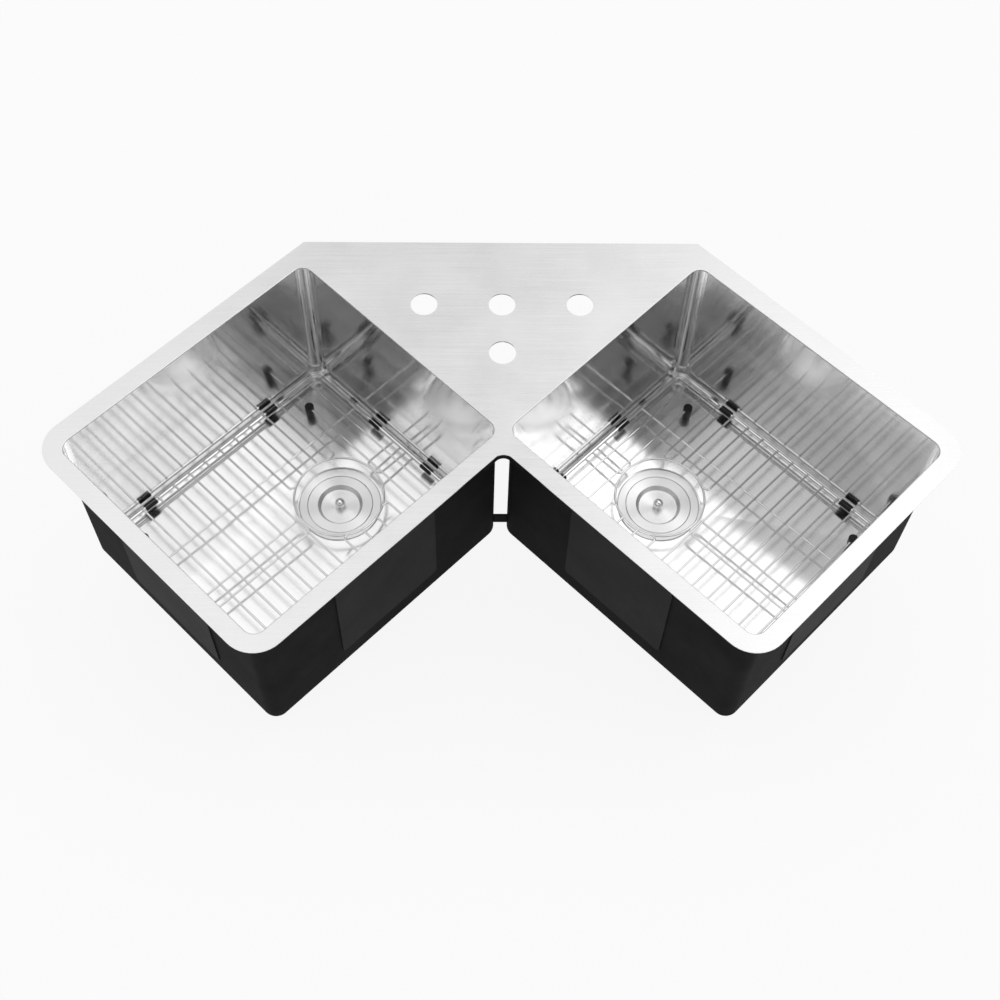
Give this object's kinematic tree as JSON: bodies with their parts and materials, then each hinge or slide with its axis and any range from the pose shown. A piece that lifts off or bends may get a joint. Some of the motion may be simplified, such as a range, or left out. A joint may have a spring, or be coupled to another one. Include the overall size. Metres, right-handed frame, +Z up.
{
  "type": "corner kitchen sink",
  "caption": "Stainless corner sink whose bowls stand at 45 degrees to a shared faucet deck, with lift-out wire grids and strainer baskets.",
  "frame": {"origin": "centre of the middle faucet hole on the deck's top face", "axes": "+X to the right along the back edge, +Y to the back towards the room's corner, +Z up"},
  "size_m": [1.1322, 0.5974, 0.3203],
  "materials": {
    "deck_steel": "sheet brushed along the back edge",
    "bowl_steel": "sheet with a satin brush",
    "strainer_steel": "pressed and turned, satin",
    "wire_steel": "electropolished wire",
    "nut_brass": "cast and turned",
    "coat": "sprayed sound-deadening coat",
    "pad_rubber": "butyl pad",
    "seal_rubber": "moulded",
    "fibre": "pressed fibre"
  },
  "bodies": {
    "sink": {"deck_plate": "deck_steel", "bowl_brace": "coat", "notch_stiffener": "coat", "left_bowl": "bowl_steel", "left_undercoat": "coat", "left_wall_pads": "pad_rubber", "left_base_pad": "pad_rubber", "left_strainer_body": "strainer_steel", "left_strainer_spud": "strainer_steel", "left_strainer_spider": "strainer_steel", "left_strainer_gasket": "seal_rubber", "left_friction_washer": "fibre", "left_strainer_locknut": "nut_brass", "right_bowl": "bowl_steel", "right_undercoat": "coat", "right_wall_pads": "pad_rubber", "right_base_pad": "pad_rubber", "right_strainer_body": "strainer_steel", "right_strainer_spud": "strainer_steel", "right_strainer_spider": "strainer_steel", "right_strainer_gasket": "seal_rubber", "right_friction_washer": "fibre", "right_strainer_locknut": "nut_brass"},
    "left_grid": {"left_grid_frame": "wire_steel", "left_grid_drain_ring": "wire_steel", "left_grid_top_wires": "wire_steel", "left_grid_lower_wires": "wire_steel", "left_grid_feet": "seal_rubber", "left_grid_bumpers": "seal_rubber"},
    "left_basket": {"left_basket_cover": "strainer_steel", "left_basket_cup": "strainer_steel", "left_basket_post": "strainer_steel", "left_basket_seal": "seal_rubber", "left_basket_nut": "strainer_steel"},
    "right_grid": {"right_grid_frame": "wire_steel", "right_grid_drain_ring": "wire_steel", "right_grid_top_wires": "wire_steel", "right_grid_lower_wires": "wire_steel", "right_grid_feet": "seal_rubber", "right_grid_bumpers": "seal_rubber"},
    "right_basket": {"right_basket_cover": "strainer_steel", "right_basket_cup": "strainer_steel", "right_basket_post": "strainer_steel", "right_basket_seal": "seal_rubber", "right_basket_nut": "strainer_steel"}
  },
  "joints": [
    {"name": "left_grid_lift", "type": "slide", "parent": "sink", "child": "left_grid", "axis": [0, 0, 1], "range_m": [0, 0.3]},
    {"name": "left_basket_lift", "type": "slide", "parent": "sink", "child": "left_basket", "axis": [0, 0, 1], "range_m": [0, 0.34]},
    {"name": "right_grid_lift", "type": "slide", "parent": "sink", "child": "right_grid", "axis": [0, 0, 1], "range_m": [0, 0.3]},
    {"name": "right_basket_lift", "type": "slide", "parent": "sink", "child": "right_basket", "axis": [0, 0, 1], "range_m": [0, 0.34]}
  ]
}
